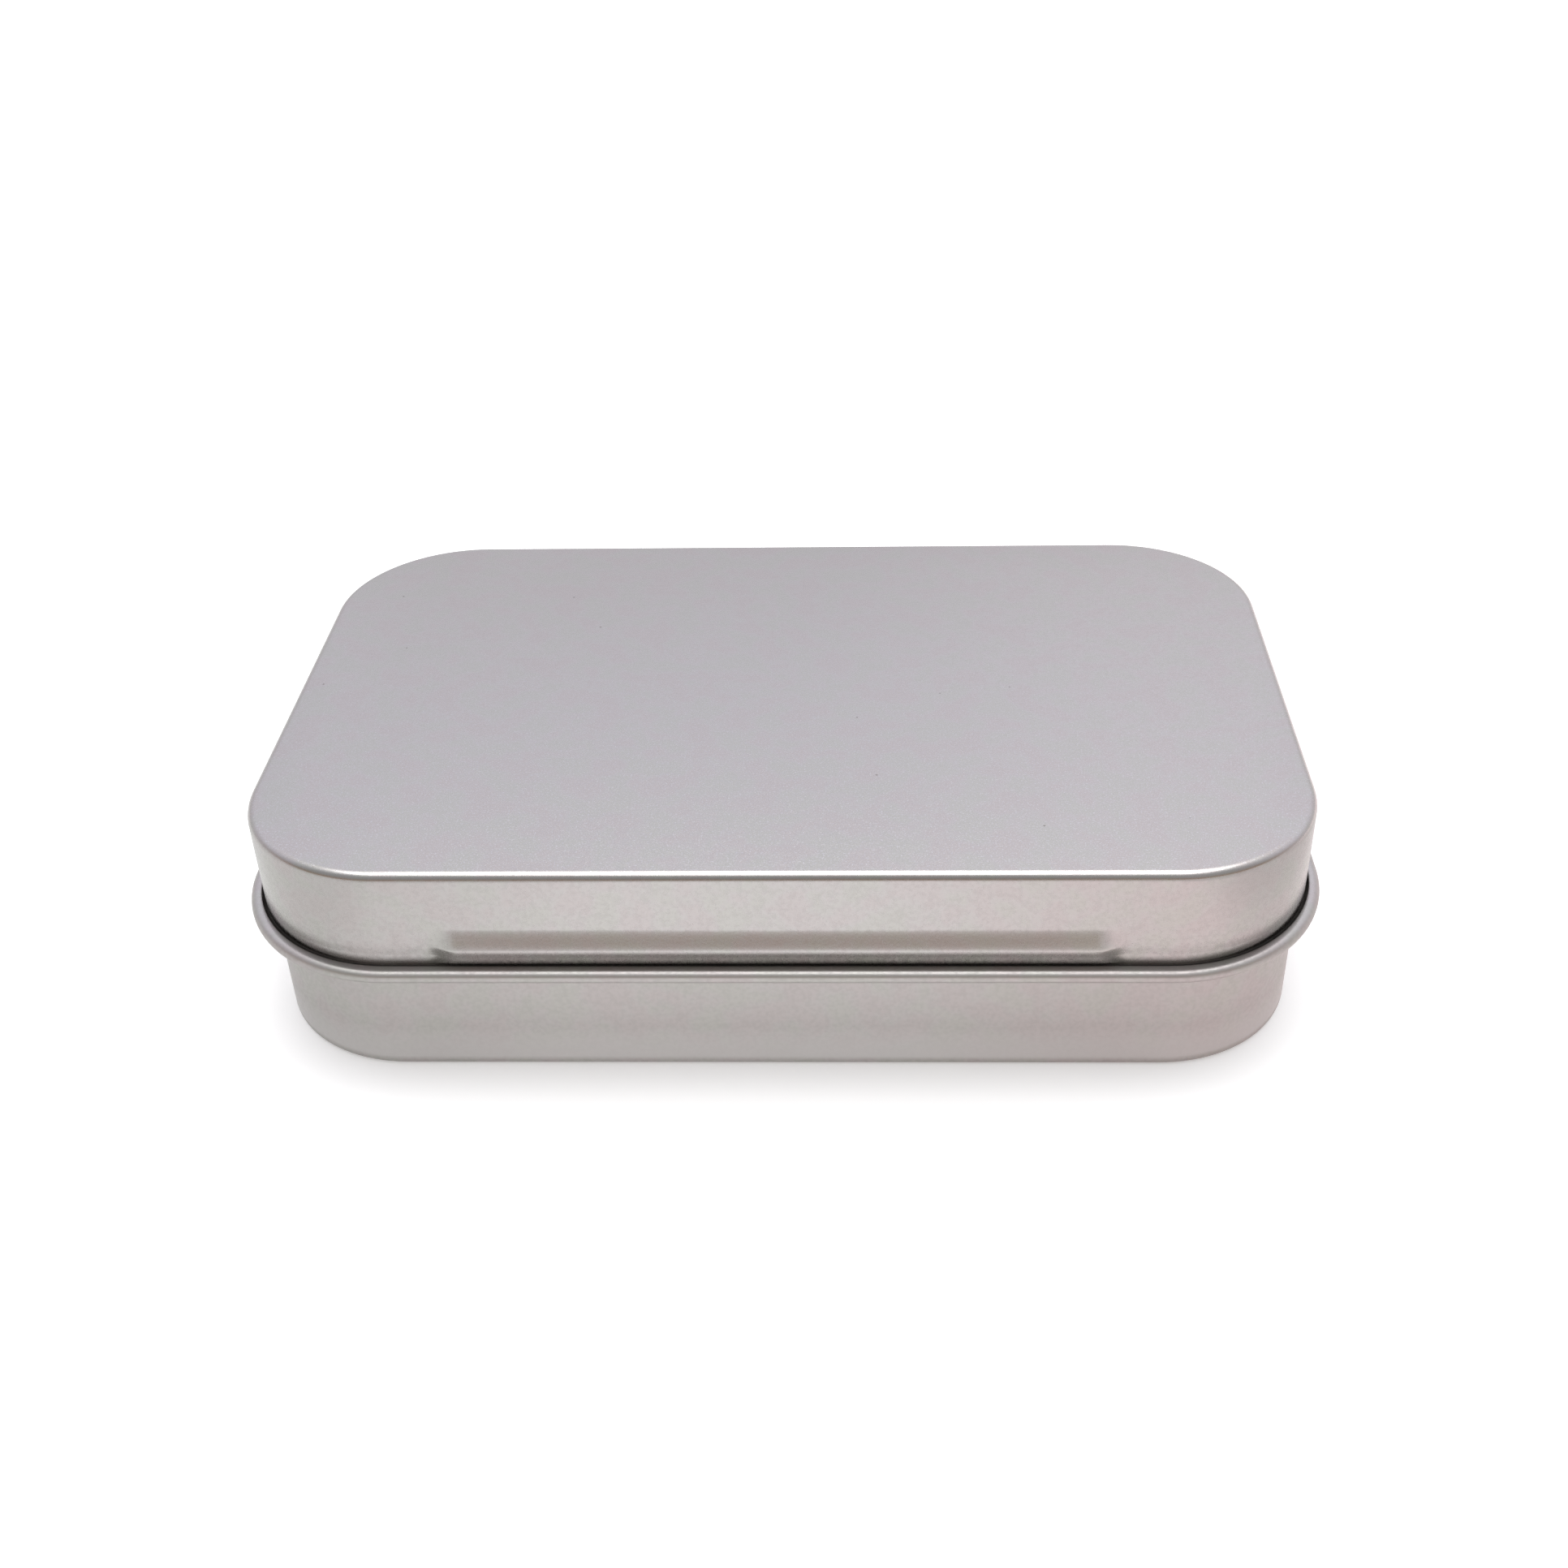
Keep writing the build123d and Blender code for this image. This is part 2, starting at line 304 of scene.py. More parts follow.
# %% [markdown]
# The curl changes on its way round. In the corners the metal has to stretch, so it closes
# less. Along the front it is pressed further out and flatter, a lip for a thumb, and that
# dies out as the front corners turn. Pulling points by hand would leave dents, which metal
# shows at once. A rule works out the new place of each point of the curl from its old one.

# %% Reshape the curl
corner_roll_end = math.radians(108)
thumb_reach = 0.43 * mm
thumb_fade = math.radians(80)
thumb_thickness = 1.2 * mm
thumb_top_run = 1.3 * mm


def lip_share(outward):
    """How far the thumb lip is pressed out: 1 along the front, 0 once a corner has turned."""
    return 1 - smooth(math.atan2(abs(outward.x), -outward.y) / thumb_fade)


def curled(outside, height, foot, pressed, end):
    """Where a point of the even curl lies once the curl is opened and pressed out and flat."""
    angle = math.atan2(height - roll_height, outside - roll_bore) + math.pi
    angle *= (math.pi + end) / (math.pi + roll_end)
    bore = roll_bore + (thumb_thickness / 2 - roll_diameter / 2) * pressed
    middle = 2 * roll_bore + thumb_reach * pressed - bore
    run = bore
    if angle < math.pi / 2:
        run = middle - foot
    elif angle > 3 * math.pi / 2:
        run = roll_bore + (thumb_top_run - roll_diameter / 2) * pressed
    return middle - run * math.cos(angle), roll_height - bore * math.sin(angle)


half_way = Vector((math.sin(thumb_fade / 2), -math.cos(thumb_fade / 2), 0.0))
print("share of the lip left half way through its fade:", round(lip_share(half_way), 2))

# %% [markdown]
# The skirt is brought out in two ways. Where the ridge is, its curve rises from a foot that
# already stands out. Beside the ridge only the foot leans out, to meet the pressed lip below
# it, and it dies out with the lip round the front corners. A second object laid over the skirt
# would be easier to draw, but one sheet has no seam for a reflection to break on.

# %% Press the skirt of the lid
ridge_reach = 0.69 * mm
foot_reach = 0.25 * mm
foot_height = 1.8 * mm
front_only = -0.5


def ridge_out(height):
    """How far the ridge brings the skirt out at a height, in its straight part."""
    if height > ridge_crest:
        return ridge_reach * flank_reach((height - ridge_crest) / ridge_rise)
    share = flank_reach((ridge_crest - height) / (ridge_crest - roll_height))
    return foot_reach + (ridge_reach - foot_reach) * share


def foot_out(height):
    """How far the skirt leans out above the lip where there is no ridge."""
    return foot_reach * (1 - smooth((height - roll_height) / foot_height))


def shape_lid(point):
    """The place of a point of the lid once ridge, lip and curl are formed."""
    outward, outside, to_corner = plan_place(point, lid_corner_x, lid_corner_y, lid_corner_radius)
    front = outward.y < front_only and to_corner > 0
    fade = smooth((ridge_length / 2 - abs(point.x)) / ridge_fade) if front else 0.0
    pressed = lip_share(outward)
    moved, height = outside, point.z
    if outside > near or point.z < roll_height - near:
        share = max(pressed, smooth(to_corner / roll_blend))
        end = corner_roll_end + (roll_end - corner_roll_end) * share
        moved, height = curled(outside, point.z, foot_reach * pressed, pressed, end)
    elif point.z < ridge_crest + ridge_rise:
        moved += fade * ridge_out(point.z) + (pressed - fade) * foot_out(point.z)
    shift = outward * (moved - outside)
    return Vector((point.x + shift.x, point.y + shift.y, height))


def move_points(piece, shape):
    """Move every point of a piece in edit mode to where a rule puts it."""
    mesh = bmesh.from_edit_mesh(piece.data)
    for vertex in mesh.verts:
        vertex.co = shape(vertex.co)
    bmesh.update_edit_mesh(piece.data)
    return mesh


mesh = move_points(lid_shell, shape_lid)
print("front of the thumb lip, mm:", round(min(v.co.y for v in mesh.verts) / mm, 2))

# %% [markdown]
# Each hinge window is a slit in the back of the skirt, just above the curl, through which
# the tab passes. A boolean could cut it, but would leave long thin faces that shade badly.
# The rows and columns of faces are there already, so cutting is deleting what lies between.

# %% Cut the windows
def delete_faces(piece, low, high):
    """Delete the faces whose middle lies between two corners."""
    bpy.ops.mesh.select_all(action="DESELECT")
    mesh = bmesh.from_edit_mesh(piece.data)
    count = 0
    for face in mesh.faces:
        middle = face.calc_center_median()
        if all(low[k] < middle[k] < high[k] for k in range(3)):
            face.select_set(True)
            count += 1
    bmesh.update_edit_mesh(piece.data)
    bpy.ops.mesh.delete(type="FACE")
    return count


cut = delete_faces(
    lid_shell,
    (window_ends[1], lid_half_width - near, hinge_z),
    (window_ends[0], lid_half_width + near, window_top),
)
print("faces cut for a window:", cut)

# %% [markdown]
# Both pieces are finished in the same way. The half is mirrored, the flat face is filled,
# and Solidify gives the sheet its thickness, away from the drawn face. A narrow bevel then
# breaks the cut edges, which on real tinplate are never quite sharp and catch the light.
# Both faces of the sheet could be drawn, but another thickness would mean drawing them again.

# %% Finish a drawn shell
cut_edge_bevel = 0.04 * mm
bevel_angle = math.radians(55)
bevel_segments = 2
smooth_angle = math.radians(40)


def apply_modifier(piece, kind, **settings):
    """Add a modifier of a kind with some settings, and apply it."""
    modifier = piece.modifiers.new(kind.title(), kind)
    for name, value in settings.items():
        setattr(modifier, name, value)
    bpy.ops.object.modifier_apply(modifier=modifier.name)


def fill_flat(piece, level):
    """Close the open loop at one height with a flat face."""
    bpy.ops.object.mode_set(mode="EDIT")
    bpy.ops.mesh.select_all(action="DESELECT")
    mesh = bmesh.from_edit_mesh(piece.data)
    for edge in mesh.edges:
        level_edge = all(abs(vertex.co.z - level) < near for vertex in edge.verts)
        edge.select_set(level_edge and edge.is_boundary)
    bmesh.update_edit_mesh(piece.data)
    bpy.ops.mesh.edge_face_add()
    bpy.ops.mesh.select_all(action="SELECT")
    bpy.ops.mesh.normals_make_consistent(inside=False)
    bpy.ops.object.mode_set(mode="OBJECT")


def finish_shell(piece, level, facing):
    """Make a drawn half into a whole piece of sheet, its flat face at a level facing up or down."""
    bpy.ops.object.mode_set(mode="OBJECT")
    apply_modifier(piece, "MIRROR", merge_threshold=near)
    fill_flat(piece, level)
    flat = max(piece.data.polygons, key=lambda polygon: polygon.area)
    if flat.normal.z * facing < 0:
        piece.data.flip_normals()
    apply_modifier(piece, "SOLIDIFY", thickness=sheet, offset=-1, use_even_offset=True)
    apply_modifier(
        piece, "BEVEL", width=cut_edge_bevel, segments=bevel_segments,
        limit_method="ANGLE", angle_limit=bevel_angle,
    )
    bpy.ops.object.shade_smooth_by_angle(angle=smooth_angle)
    print(piece.name, "has", len(piece.data.polygons), "faces")


finish_shell(lid_shell, overall_height, 1)

# %% [markdown]
# The base is a second tray, which stands inside the lid's skirt with a little room. Its wall
# leans out a touch, so that it leaves the press, and its rim is rolled inward, so that no
# cut edge meets a finger. At the front a low catch is pressed out for the lid's ridge.
# It could be scaled from the lid, but then its sheet would be thinner. It has its own sizes.

# %% Sizes of the base
skirt_clearance = 0.35 * mm
base_height = 17.2 * mm
base_edge_radius = 0.7 * mm
wall_slope = 0.03 * mm
rim_diameter = 1.3 * mm
rim_end = math.radians(295)
catch_height = 1.8 * mm
tab_bend_radius = 0.4 * mm
tab_end = math.radians(122)

base_half_length = lid_half_length - sheet - skirt_clearance
base_half_width = lid_half_width - sheet - skirt_clearance
base_corner_radius = lid_corner_radius - sheet - skirt_clearance
rim_middle = base_height - rim_diameter / 2
tab_middle = tab_outer - sheet / 2
tab_root = hinge_z - tab_middle - tab_bend_radius
print("base wall to wall, mm:", round(2 * base_half_length / mm, 2), round(2 * base_half_width / mm, 2))

# %% [markdown]
# The base is drawn as the lid was, but from the floor up: round the bottom edge, up the wall
# past the hinge and the catch, and round the curl of the rim. A tab is cut from the wall
# above its bend, so the hole that it leaves is as tall as the tab is long when laid flat.
# Working that out keeps the metal of the tab the same as the metal of the hole.

# %% Section of the base
bottom_steps = 8
rim_steps = 24

lean = math.atan(wall_slope / tab_root)
foot_inset = wall_slope * (1 - base_edge_radius / tab_root) + base_edge_radius / math.cos(lean)
foot_center = Vector((0.0, -base_half_width + foot_inset, base_edge_radius))
foot = foot_center + Vector((0.0, 0.0, -base_edge_radius))
wall_start = foot_center + base_edge_radius * Vector((0.0, -math.cos(lean), -math.sin(lean)))
rim_center = (0.0, -base_half_width + rim_diameter / 2, rim_middle)
tab_run = hinge_y - (base_half_width - sheet / 2 + tab_bend_radius)
tab_blank = math.pi / 2 * tab_bend_radius + tab_run + (math.pi / 2 + tab_end) * tab_middle
hole_top = tab_root + tab_blank

base_levels = flank_levels(ridge_crest, -catch_height / 2)
base_levels += flank_levels(ridge_crest, catch_height / 2)[:-1]
base_levels = sorted(base_levels + [hole_top, rim_middle])

base_shell = start_point("base_shell", foot)
turn(math.pi / 2 - lean, bottom_steps, foot_center, (-1, 0, 0))
step(y=-base_half_width - wall_start.y, z=tab_root - wall_start.z)
height = tab_root
for level in base_levels:
    step(z=level - height)
    height = level
turn(-rim_end, rim_steps, rim_center, AXIS_X)
print("points in the base's section:", len(bmesh.from_edit_mesh(base_shell.data).verts))

# %% [markdown]
# The base's section goes round the plan with fewer stops than the lid's: its wall is plain
# but for the catch at the front and the tabs at the back. Stops at the lid's places would
# work too, but a flat wall looks the same with one long face as with ten short ones.

# %% Take the base's section round the plan
catch_length = 50.0 * mm
catch_fade = 5.0 * mm
tab_cut_gap = 0.15 * mm

catch_straight = catch_length / 2 - catch_fade
tab_ends = [tab_place + tab_width / 2, tab_place - tab_width / 2]
hole_ends = [tab_ends[0] + tab_cut_gap, tab_ends[1] - tab_cut_gap]

bpy.ops.mesh.select_all(action="SELECT")
go_to([catch_straight], 0.0, "x")
go_to(stops_between(catch_straight, catch_length / 2, fade_steps), catch_straight, "x")
go_to([lid_corner_x], catch_length / 2, "x")
turn(math.pi / 2, corner_steps, (lid_corner_x, -lid_corner_y, 0), AXIS_Z)
go_to([lid_corner_y], -lid_corner_y, "y")
turn(math.pi / 2, corner_steps, (lid_corner_x, lid_corner_y, 0), AXIS_Z)
go_to([hole_ends[0], *tab_ends, hole_ends[1], 0.0], lid_corner_x, "x")
print("points in half a base:", len(bmesh.from_edit_mesh(base_shell.data).verts))

# %% [markdown]
# The catch is a small ridge, pressed outward like the lid's, which the lid's ridge snaps
# over. It could be a strip of its own behind the wall, but the real one is the wall itself.
# So it uses the same curve, lower and shorter, and the same way of moving points.

# %% Press the catch
catch_reach = 0.18 * mm


def shape_base(point):
    """The place of a point of the base once the catch is pressed."""
    outward, outside, to_corner = plan_place(point, lid_corner_x, lid_corner_y, base_corner_radius)
    off_middle = (point.z - ridge_crest) / (catch_height / 2)
    on_wall = outward.y <= front_only and to_corner != 0 and abs(outside) <= near
    if not on_wall or abs(off_middle) > 1:
        return point
    fade = smooth((catch_length / 2 - abs(point.x)) / catch_fade)
    return point + outward * (catch_reach * fade * flank_reach(off_middle))


mesh = move_points(base_shell, shape_base)
print("front of the catch, mm:", round(min(v.co.y for v in mesh.verts) / mm, 2))

# %% [markdown]
# The tab is the metal that leaves the hole. A separate strip laid against the wall would show
# a seam, and the real one has none. So the edge below the hole is itself spun outward, run
# under the curl of the lid, and spun round it. It stays one sheet with the wall.

# %% Cut the hole and curl the tab
tab_bend_steps = 5
tab_curl_steps = 20

cut = delete_faces(
    base_shell,
    (hole_ends[1], base_half_width - near, tab_root),
    (hole_ends[0], base_half_width + near, hole_top),
)
mesh = bmesh.from_edit_mesh(base_shell.data)
for edge in mesh.edges:
    on_root = all(
        abs(v.co.z - tab_root) < near and v.co.y > 0 and tab_ends[1] - near < v.co.x < tab_ends[0] + near
        for v in edge.verts
    )
    edge.select_set(on_root)
bmesh.update_edit_mesh(base_shell.data)
bend_y = base_half_width - sheet / 2 + tab_bend_radius
turn(-math.pi / 2, tab_bend_steps, (0, bend_y, tab_root), AXIS_X)
step(y=hinge_y - bend_y)
turn(math.pi / 2 + tab_end, tab_curl_steps, (0, hinge_y, hinge_z), AXIS_X)
print("faces cut for a tab:", cut)
finish_shell(base_shell, 0.0, -1)

# %% [markdown]
# Each shell stands for its piece of the imported model and moves with its body, so that the
# lid opens. Parenting by hand would do it too, but these calls also hide the piece each shell replaces.

# %% Put the shells on their bodies
for shell, node in ((lid_shell, "lid"), (base_shell, "base")):
    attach(shell, node)
    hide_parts(node)
    print(shell.name, "stands for", node)

# %% [markdown]
# Bare tinplate is a metal, so its colour is the colour of its reflections. An image could
# carry its small marks, but would stretch over the curls. Noise that is read from the place
# of each point on the piece has no seams, and its grain keeps a real size everywhere.
# The marks are built up one layer at a time, and each layer is kept weak: on metal a little
# goes a long way. First come helpers, so that a layer takes one line.

# %% Helpers for materials
def add_node(tree, kind, **inputs):
    """A new node with some of its inputs set, by name with _ for a space."""
    node = tree.nodes.new(kind)
    for name, value in inputs.items():
        node.inputs[name.replace("_", " ")].default_value = value
    return node


def socket(sockets, identifier):
    """The socket of a Mix node that has an identifier, such as A_Color."""
    return next(one for one in sockets if one.identifier == identifier)


def mix_colors(tree, factor, first, second, blend_type="MIX"):
    """Mix two colours, each a tuple or a socket, as far as a factor says."""
    node = tree.nodes.new("ShaderNodeMix")
    node.data_type = "RGBA"
    node.blend_type = blend_type
    tree.links.new(factor, socket(node.inputs, "Factor_Float"))
    for color, identifier in ((first, "A_Color"), (second, "B_Color")):
        if isinstance(color, tuple):
            socket(node.inputs, identifier).default_value = (*color, 1)
        else:
            tree.links.new(color, socket(node.inputs, identifier))
    return socket(node.outputs, "Result_Color")


def noise(tree, place, size, detail=2.0):
    """Noise whose features are about size across."""
    node = add_node(tree, "ShaderNodeTexNoise", Scale=1 / size, Detail=detail)
    tree.links.new(place, node.inputs["Vector"])
    return node.outputs["Fac"]


def remap(tree, source, span, low=0.0, high=1.0):
    """Go evenly from low to high as the source crosses a span, and stay level beyond."""
    start, end = span
    node = add_node(tree, "ShaderNodeMapRange", From_Min=start, From_Max=end, To_Min=low, To_Max=high)
    tree.links.new(source, node.inputs["Value"])
    return node.outputs[0]


def calculate(tree, operation, *sources):
    """A Math node on one or two sockets."""
    node = tree.nodes.new("ShaderNodeMath")
    node.operation = operation
    for source, entry in zip(sources, node.inputs):
        tree.links.new(source, entry)
    return node.outputs[0]


def split(tree, source):
    """The X, Y and Z of a vector."""
    node = tree.nodes.new("ShaderNodeSeparateXYZ")
    tree.links.new(source, node.inputs[0])
    return node.outputs


# %% [markdown]
# All the tinplate has the same tint. The tin on its face cools in patches, some leaning
# faintly to pink and some to green, with a finer mottle over them and a few dark specks.
# A span such as (0.5, 0.58) says between which values of the noise a layer comes in.

# %% Tint, mottle and specks
tin_tone = (0.455, 0.433, 0.422)
rosy, rosy_span = (1.0, 0.975, 0.98), (0.5, 0.58)
green, green_span = (0.98, 1.0, 0.975), (0.5, 0.42)
shade, shade_span = (0.955, 0.955, 0.955), (0.4, 0.65)
speck, speck_soft_rim = (0.62, 0.60, 0.58), 1.4
patch_size, patch_detail = 3.0 * mm, 3.0
mottle_size = 0.4 * mm
speck_spacing = 4.5 * mm
speck_radius = 0.09 * mm


def tinted(tree, place, mottle):
    """The colour of plain tinplate."""
    patch = noise(tree, place, patch_size, patch_detail)
    color = mix_colors(tree, remap(tree, patch, rosy_span), tin_tone, rosy, "MULTIPLY")
    color = mix_colors(tree, remap(tree, patch, green_span), color, green, "MULTIPLY")
    color = mix_colors(tree, remap(tree, mottle, shade_span), color, shade, "MULTIPLY")
    dots = add_node(tree, "ShaderNodeTexVoronoi", Scale=1 / speck_spacing)
    tree.links.new(place, dots.inputs["Vector"])
    edge = speck_radius / speck_spacing
    dot = remap(tree, dots.outputs["Distance"], (speck_soft_rim * edge, edge))
    return mix_colors(tree, dot, color, speck, "MULTIPLY")


print("specks, mm across and apart:", round(2 * speck_radius / mm, 2), round(speck_spacing / mm, 2))

# %% [markdown]
# The base's wall keeps faint upright lines from the press. Low on the wall the tin is painted
# a little brighter, a painted reflection of the bright paper just in front, and right at the
# foot that is left out, so the dark line along the bottom edge stays. The lines could be drawn
# one by one, but noise that is stretched along the height gives them all, and no two alike.

# %% Marks of the base
line_size, line_detail = 0.5 * mm, 1.0
line_stretch = 0.03
line_strength, line_span = 0.6, (0.6, 0.8)
# Painted reflection: the lower wall is painted lighter, fading out by 4.5 mm up and left off at the foot.
painted_low_reflection = (0.57, 0.55, 0.54)
painted_low_reflection_span = (4.5 * mm, 1.2 * mm)
foot_span = (0.65 * mm, 1.05 * mm)


def base_marks(tree, where, color, roughness):
    """Add the draw lines and the painted reflection low on the wall."""
    upright = add_node(tree, "ShaderNodeMapping", Scale=(1, 1, line_stretch))
    tree.links.new(where["Object"], upright.inputs["Vector"])
    line = noise(tree, upright.outputs[0], line_size, line_detail)
    color = mix_colors(tree, remap(tree, line, line_span, 0, line_strength), color, shade, "MULTIPLY")
    height = split(tree, where["Object"])["Z"]
    above_foot = remap(tree, height, foot_span)
    # Painted reflection, lighter low on the wall but not at the foot.
    painted_reflection_share = calculate(tree, "MULTIPLY", remap(tree, height, painted_low_reflection_span), above_foot)
    return mix_colors(tree, painted_reflection_share, color, painted_low_reflection), roughness


print("a draw line is", round(1 / line_stretch), "times as long as wide")

# %% [markdown]
# Where a pebble of the satin happens to face a bright part of the room it sparkles. From the
# camera this shows on the flat top alone, and most towards the front. Real sparkles would
# need a bump too fine for the picture, so they are painted as points of a brighter metal.

# %% Sparkle of the top
spark, spark_span = (0.52, 0.505, 0.515), (0.56, 0.72)
spark_size, spark_detail = 0.16 * mm, 1.0
spark_front_span, spark_at_back = (25 * mm, -28 * mm), 0.1
top_starts, top_is_whole = 0.2 * mm, 0.05 * mm


def sparkling(tree, where, color):
    """Add the sparkle to the colour."""
    _, along, height = split(tree, where["Object"])
    top = remap(tree, height, (overall_height - top_starts, overall_height - top_is_whole))
    near_front = remap(tree, along, spark_front_span, spark_at_back)
    bright = remap(tree, noise(tree, where["Object"], spark_size, spark_detail), spark_span)
    bright = calculate(tree, "MULTIPLY", bright, calculate(tree, "MULTIPLY", top, near_front))
    return mix_colors(tree, bright, color, spark)


print("sparkles, mm across:", round(spark_size / mm, 2))

# %% [markdown]
# Above the lip the skirt goes down into a narrow hollow, which lies in shade. That shade is
# painted into the colour as a dark tone, and a lighter painted shade lies below the ridge,
# most in the middle. Less light would dim all of the tin, where a tone that goes by height
# dims only the hollow. The normal keeps both tones off the lip's upper side, which is at the same height.

# %% Painted shade in the hollow above the lip
# Painted shade: two dark tones multiplied into the colour, a light one under the ridge and a deep one just
# above the lip.
painted_shade_under_ridge, painted_shade_under_ridge_span = (0.74, 0.74, 0.73), (13.65 * mm, 13.35 * mm)
painted_shade_above_lip, painted_shade_above_lip_span = (0.40, 0.40, 0.39), (12.85 * mm, 12.25 * mm)
above_lip_span = (12.05 * mm, 12.15 * mm)
upright_span = (0.4, 0.15)
under_ridge_span, under_ridge_at_end = (32 * mm, 6 * mm), 0.2


def add_painted_hollow_shade(tree, where, color):
    """Add the two tones of painted shade in the hollow to the colour."""
    across, _, height = split(tree, where["Object"])
    upright = remap(tree, split(tree, where["Normal"])["Z"], upright_span)
    above_lip = calculate(tree, "MULTIPLY", remap(tree, height, above_lip_span), upright)
    off_middle = calculate(tree, "ABSOLUTE", across)
    under_ridge = remap(tree, off_middle, under_ridge_span, under_ridge_at_end)
    under_ridge = calculate(tree, "MULTIPLY", under_ridge, above_lip)
    # Painted shade of the hollow, growing darker lower down.
    for tone, span, share in ((painted_shade_under_ridge, painted_shade_under_ridge_span, under_ridge), (painted_shade_above_lip, painted_shade_above_lip_span, above_lip)):
        painted_shade_share = calculate(tree, "MULTIPLY", remap(tree, height, span), share)
        color = mix_colors(tree, painted_shade_share, color, tone, "MULTIPLY")
    return color


print("the hollow is darkest below, mm:", round(painted_shade_above_lip_span[1] / mm, 2))

# %% [markdown]
# The curl and the lip of the lid look duller than its flat top. A second material could give
# them that, but would end in a hard line. Here the roughness grows over a fifth of a
# millimetre of height instead, and the line is never seen.

# %% Marks of the lid
lip_span = (12.3 * mm, 12.1 * mm)
lip_roughness = 0.20


def lid_marks(tree, where, color, roughness):
    """Add the painted sparkle, the painted shade of the hollow and the rougher curl and lip."""
    height = split(tree, where["Object"])["Z"]
    on_lip = remap(tree, height, lip_span, 0, lip_roughness)
    color = add_painted_hollow_shade(tree, where, sparkling(tree, where, color))
    return color, calculate(tree, "ADD", roughness, on_lip)


print("added to the roughness of the lip:", lip_roughness)

# %% [markdown]
# Close up the satin is a fine pebble, a fifth of a millimetre across and a few thousandths
# high. Modelled it would take millions of faces, so a bump gives it. What is finer still only
# blurs the reflections, and is left to the roughness. The lid is the smoother of the two.

# %% Tinplate
pebble_size, pebble_detail = 0.22 * mm, 3.0
pebble_height = 0.003 * mm
rough_spread, rough_span = 0.06, (0.35, 0.65)
lid_smoothest = 0.23
base_smoothest = 0.40


def tinplate(name, smoothest, marks):
    """Satin tinplate, with the marks that only one piece has."""
    material = bpy.data.materials.new(name)
    material.use_nodes = True
    tree = material.node_tree
    tree.nodes.clear()
    output = tree.nodes.new("ShaderNodeOutputMaterial")
    metal = add_node(tree, "ShaderNodeBsdfPrincipled", Metallic=1.0)
    tree.links.new(metal.outputs[0], output.inputs[0])
    where = tree.nodes.new("ShaderNodeTexCoord").outputs
    mottle = noise(tree, where["Object"], mottle_size)
    roughness = remap(tree, mottle, rough_span, smoothest, smoothest + rough_spread)
    color = tinted(tree, where["Object"], mottle)
    color, roughness = marks(tree, where, color, roughness)
    tree.links.new(color, metal.inputs["Base Color"])
    tree.links.new(roughness, metal.inputs["Roughness"])
    pebbles = add_node(tree, "ShaderNodeBump", Strength=1.0, Distance=pebble_height)
    grain = noise(tree, where["Object"], pebble_size, pebble_detail)
    tree.links.new(grain, pebbles.inputs["Height"])
    tree.links.new(pebbles.outputs["Normal"], metal.inputs["Normal"])
    return material


for shell, smoothest, marks in (
    (lid_shell, lid_smoothest, lid_marks), (base_shell, base_smoothest, base_marks)
):
    shell.data.materials.clear()
    material = tinplate(shell.name + "_tinplate", smoothest, marks)
    shell.data.materials.append(material)
    print(material.name, "has", len(material.node_tree.nodes), "nodes")

# %% [markdown]
# The studio. The tin stands on white paper, and the metal shows that paper again, so the
# paper decides how bright the walls look. In the photograph the paper that the walls show is
# dimmer to the left, pinker to the right and dimmest beside the right corner. A lamp for each
# would change the shadow. Here only reflected rays see those tones, and the paper stays white.

# %% Floor
floor_size = 4.0
floor_lift = 0.43
paper_white = (0.80, 0.795, 0.795)
paper_left, left_span = (0.59, 0.595, 0.585), (-0.02, -0.06)
paper_right, right_span = (0.76, 0.695, 0.69), (0.01, 0.04)
paper_beside, beside_span = (0.55, 0.53, 0.52), (0.05, 0.07)
front_half_span = (0.03, 0.0)

bpy.ops.mesh.primitive_plane_add(size=floor_size)
floor = bpy.context.object
floor.name = "floor"
material = bpy.data.materials.new("floor_paper")
material.use_nodes = True
tree = material.node_tree
tree.nodes.clear()
across, along, _ = split(tree, tree.nodes.new("ShaderNodeTexCoord").outputs["Object"])
path = tree.nodes.new("ShaderNodeLightPath").outputs
at_left, at_right = remap(tree, across, left_span), remap(tree, across, right_span)
beside = calculate(tree, "MULTIPLY", remap(tree, across, beside_span), remap(tree, along, front_half_span))
paper = paper_white
for place, tone in ((at_left, paper_left), (at_right, paper_right), (beside, paper_beside)):
    paper = mix_colors(tree, calculate(tree, "MULTIPLY", place, path["Is Glossy Ray"]), paper, tone)
print("floor, m:", tuple(floor.dimensions))

# %% [markdown]
# White paper under soft light comes out a little grey. More light would burn out the tin, so
# the paper glows instead, and only for rays of the camera and for reflections. Light that
# bounces from it to the tin is left as it was, and the tin keeps its shadow.

# %% Paper of the floor
diffuse = tree.nodes.new("ShaderNodeBsdfDiffuse")
tree.links.new(paper, diffuse.inputs["Color"])
glow = tree.nodes.new("ShaderNodeEmission")
tree.links.new(paper, glow.inputs["Color"])
seen = calculate(tree, "MAXIMUM", path["Is Camera Ray"], path["Is Glossy Ray"])
tree.links.new(remap(tree, seen, (0, 1), 0, floor_lift), glow.inputs["Strength"])
both = tree.nodes.new("ShaderNodeAddShader")
output = tree.nodes.new("ShaderNodeOutputMaterial")
tree.links.new(diffuse.outputs[0], both.inputs[0])
tree.links.new(glow.outputs[0], both.inputs[1])
tree.links.new(both.outputs[0], output.inputs[0])
floor.data.materials.append(material)
print(material.name, "has", len(tree.nodes), "nodes")

# %% [markdown]
# The room is what the tin mirrors above the paper. Behind the tin it is pale and slightly
# blue, which the top shows. On the photographer's side it is bright just above the table,
# then brown, which is the colour of the ridge's upper side, then grey, and bright overhead,
# which makes the light lines along the lip and the top edge. Cards and lamps could build it
# up, but two colour ramps over the height of a direction say the same in a few lines.

